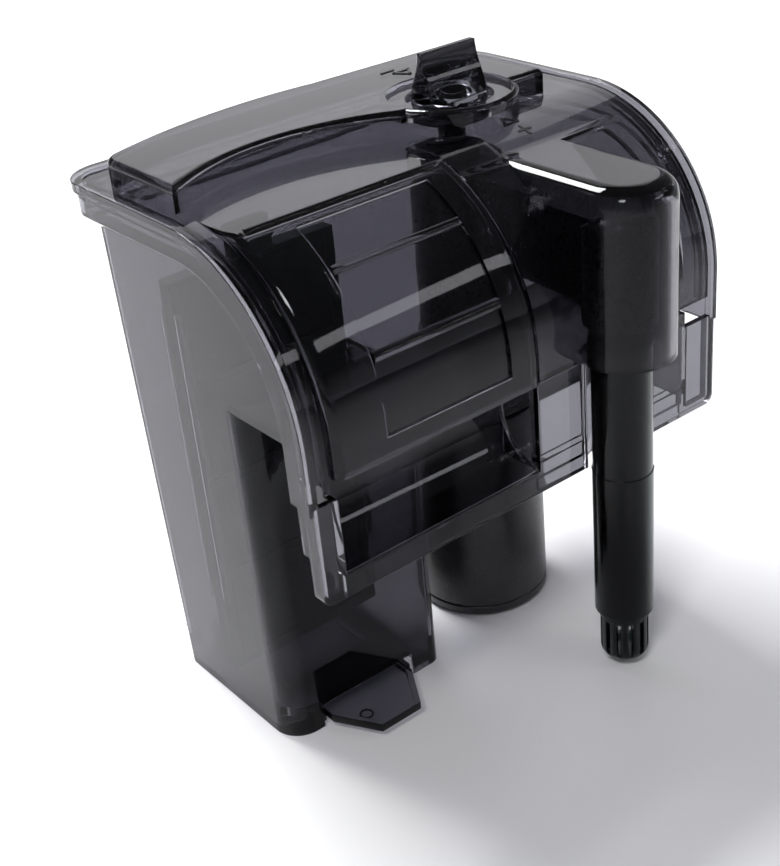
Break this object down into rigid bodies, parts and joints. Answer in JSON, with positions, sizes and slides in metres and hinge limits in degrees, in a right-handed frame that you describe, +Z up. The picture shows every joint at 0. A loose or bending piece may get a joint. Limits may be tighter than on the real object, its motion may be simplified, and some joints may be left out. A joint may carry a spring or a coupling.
{
  "type": "hang on back aquarium filter",
  "caption": "Clear smoke-grey filter that hangs on a tank's edge: pump and intake tube, filter cartridge, lift-off cover and curved water outlet.",
  "frame": {"origin": "bottom centre of the whole object's box, on the plane the box stands on", "axes": "+Z up, +X to the right seen from inside the tank, -Y into the tank, +Y away from the glass"},
  "size_m": [0.152, 0.128, 0.185],
  "materials": {
    "smoke_clear": "clear smoke-grey moulded plastic, polished",
    "smoke_knob": "dark smoke translucent plastic, polished",
    "smoke_tube": "dark green-grey translucent tube, satin",
    "black_plastic": "black moulded plastic, fine texture",
    "motor_plastic": "black moulded plastic",
    "grey_plastic": "grey-green moulded plastic",
    "dark_frame": "dark green-black moulded plastic",
    "black_rubber": "black rubber",
    "ferrite": "dark ferrite",
    "ceramic": "white ceramic, ground",
    "core_steel": "laminated steel",
    "copper": "enamelled copper wire",
    "screw_steel": "stainless steel",
    "floss": "non-woven filter floss",
    "carbon": "activated carbon granules"
  },
  "bodies": {
    "box": {"filter_box": "smoke_clear", "stem_seal": "black_rubber", "intake_elbow": "black_plastic", "elbow_seal": "black_rubber", "intake_tube": "smoke_tube", "impeller_chamber": "grey_plastic", "chamber_lid": "grey_plastic", "rotor_shaft": "ceramic", "lower_bush": "black_rubber", "upper_bush": "black_rubber", "motor_housing": "motor_plastic", "motor_base": "motor_plastic", "motor_seal": "black_rubber", "stator_core": "core_steel", "stator_coil": "copper", "cable_gland": "black_rubber", "motor_screws": "screw_steel", "cartridge_frame": "dark_frame", "floss_front": "floss", "carbon_filling": "carbon", "floss_back": "floss"},
    "cover": {"top_cover": "smoke_clear"},
    "valve": {"flow_knob": "smoke_knob", "valve_stem": "black_plastic", "flow_gate": "black_plastic"},
    "rotor": {"impeller": "grey_plastic", "rotor_magnet": "ferrite"},
    "extension": {"extension_tube": "smoke_tube", "intake_strainer": "smoke_tube"},
    "leveller": {"level_adjuster": "smoke_clear"}
  },
  "joints": [
    {"name": "cover_lift", "type": "slide", "parent": "box", "child": "cover", "axis": [0, 0, 1], "range_m": [0, 0.06]},
    {"name": "flow_turn", "type": "hinge", "parent": "box", "child": "valve", "pos_m": [0.027, 0.015, 0.16], "axis": [0, 0, 1], "range_deg": [-45, 45]},
    {"name": "rotor_spin", "type": "hinge", "parent": "box", "child": "rotor", "pos_m": [0.027, 0.015, 0.06], "axis": [0, 0, 1], "continuous": true},
    {"name": "intake_extend", "type": "slide", "parent": "box", "child": "extension", "axis": [0, 0, -1], "range_m": [0, 0.05]},
    {"name": "level_slide", "type": "slide", "parent": "box", "child": "leveller", "axis": [0, 1, 0], "range_m": [-0.008, 0.018]}
  ]
}
